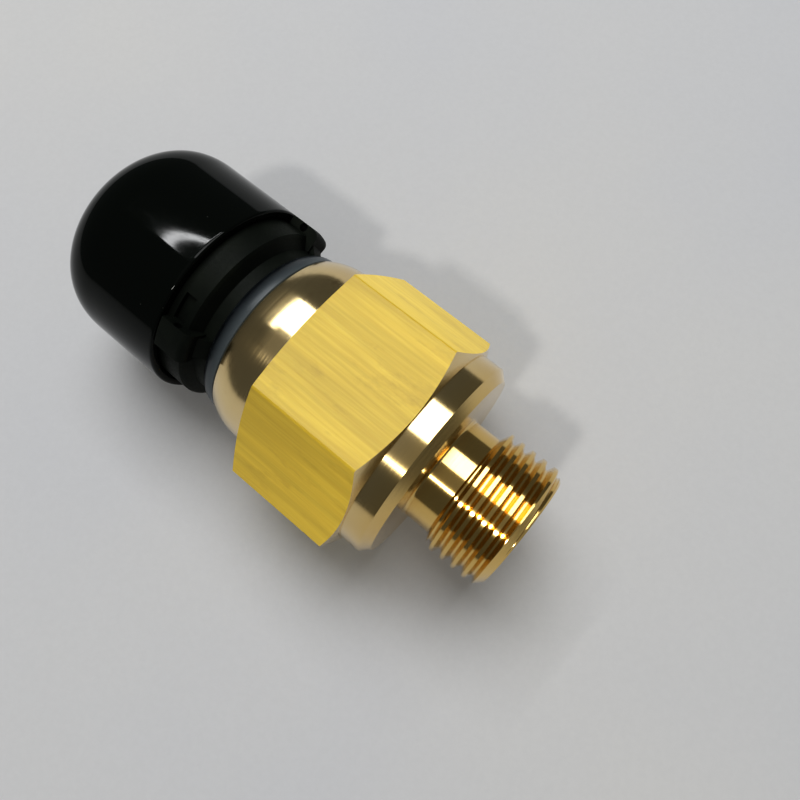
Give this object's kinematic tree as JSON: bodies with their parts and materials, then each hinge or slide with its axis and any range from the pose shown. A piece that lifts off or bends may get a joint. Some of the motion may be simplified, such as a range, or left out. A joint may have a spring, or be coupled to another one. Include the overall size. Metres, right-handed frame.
{
  "type": "pressure switch",
  "caption": "Screw-in diaphragm pressure switch: hexagonal brass body with a metric threaded port, crimped-in bayonet connector base and a pull-off dust cap.",
  "frame": {"origin": "on the switch's axis, in the plane of the annular seal face that closes on the port's boss", "axes": "+X along the axis from the threaded port to the dust cap, +Z the outward normal of the upper hexagon flat; the switch lies on its lower hexagon flat at Z = -0.0135"},
  "size_m": [0.0628, 0.031, 0.027],
  "materials": {
    "turned_brass": "turned and drawn, polished, lightly tarnished",
    "black_nylon": "fine-grained glass-filled moulding",
    "black_vinyl": "glossy dip-moulded vinyl",
    "milky_silicone": "translucent milky silicone",
    "seal_rubber": "matte nitrile rubber",
    "diaphragm_film": "amber polyimide film",
    "spring_steel": "bright drawn steel",
    "white_nylon": "natural nylon",
    "contact_copper": "stamped bronze strip",
    "contact_silver": "silver contact rivets",
    "tinned_pin": "tin-plated brass",
    "potting_resin": "cast epoxy"
  },
  "bodies": {
    "housing": {"brass_body": "turned_brass", "chamber_o_ring": "seal_rubber", "diaphragm": "diaphragm_film", "guide_ring": "turned_brass", "calibration_spring": "spring_steel", "calibration_nut": "turned_brass", "fixed_rivets": "contact_silver", "bridge_spring": "spring_steel", "fixed_contact_left": "contact_copper", "fixed_contact_right": "contact_copper", "contact_carrier": "black_nylon", "potting_disc": "potting_resin", "terminal_pin_1": "tinned_pin", "terminal_pin_2": "tinned_pin", "terminal_pin_3": "tinned_pin", "terminal_pin_4": "tinned_pin", "connector_base": "black_nylon", "foot_o_ring": "seal_rubber", "crimp_gasket": "milky_silicone"},
    "plunger": {"backing_disc": "spring_steel", "piston": "turned_brass", "insulating_pusher": "white_nylon", "contact_bridge": "contact_copper", "bridge_rivets": "contact_silver"},
    "cap": {"protective_cap": "black_vinyl"}
  },
  "joints": [
    {"name": "cap_pull", "type": "slide", "parent": "housing", "child": "cap", "axis": [1, 0, 0], "range_m": [0, 0.022]},
    {"name": "plunger_stroke", "type": "slide", "parent": "housing", "child": "plunger", "axis": [1, 0, 0], "range_m": [0, 0.0006], "stiffness_N_per_m": 2000, "springref_m": -0.0005, "deforming": ["calibration_spring", "bridge_spring", "diaphragm"]}
  ]
}
